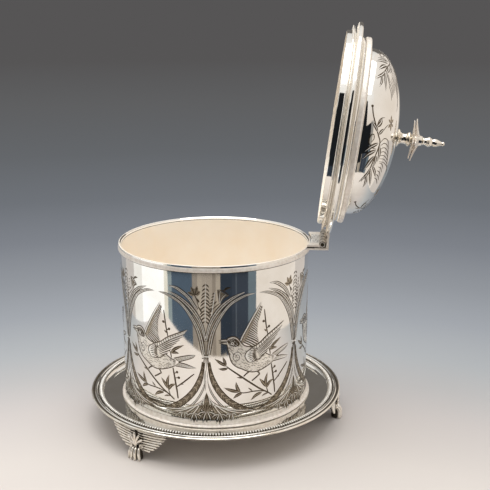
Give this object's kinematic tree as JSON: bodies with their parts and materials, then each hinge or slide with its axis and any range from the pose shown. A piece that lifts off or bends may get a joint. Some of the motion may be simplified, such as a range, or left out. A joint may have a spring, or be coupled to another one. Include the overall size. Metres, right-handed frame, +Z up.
{
  "type": "biscuit barrel",
  "caption": "Silver-plated biscuit barrel: round engraved drum on a footed tray, domed lid with a finial, hinged at the back.",
  "frame": {"origin": "centre of the drum's inside floor, on the drum's axis", "axes": "+Z up along the drum's axis, +Y to the back where the hinge is, +X to the right seen from the front"},
  "size_m": [0.1944, 0.2621, 0.2984],
  "materials": {
    "silver_plate": "polished",
    "gilt": "satin",
    "nickel": "satin",
    "brass": "satin"
  },
  "bodies": {
    "base": {"drum_wall": "silver_plate", "drum_rim_moulding": "silver_plate", "drum_floor": "gilt", "drum_foot_ring": "silver_plate", "tray_dish": "silver_plate", "tray_bead_border": "silver_plate", "tray_rim_band": "silver_plate", "foot_back": "silver_plate", "foot_left": "silver_plate", "foot_right": "silver_plate", "drum_stud": "brass", "drum_stud_washer": "brass", "drum_stud_nut": "brass", "hinge_drum_leaf": "silver_plate", "hinge_pin": "nickel"},
    "lid": {"hinge_lid_leaf": "silver_plate", "lid_bezel": "silver_plate", "lid_rim_moulding": "silver_plate", "lid_shoulder_ring": "silver_plate", "lid_dome": "silver_plate", "finial_base": "silver_plate", "finial_leaf_collar": "silver_plate", "finial_spire": "silver_plate", "finial_stud": "brass", "finial_washer": "brass", "finial_nut": "brass"}
  },
  "joints": [
    {"name": "lid_hinge", "type": "hinge", "parent": "base", "child": "lid", "pos_m": [0, 0.0808, 0.1204], "axis": [1, 0, 0], "range_deg": [0, 97.3]}
  ]
}
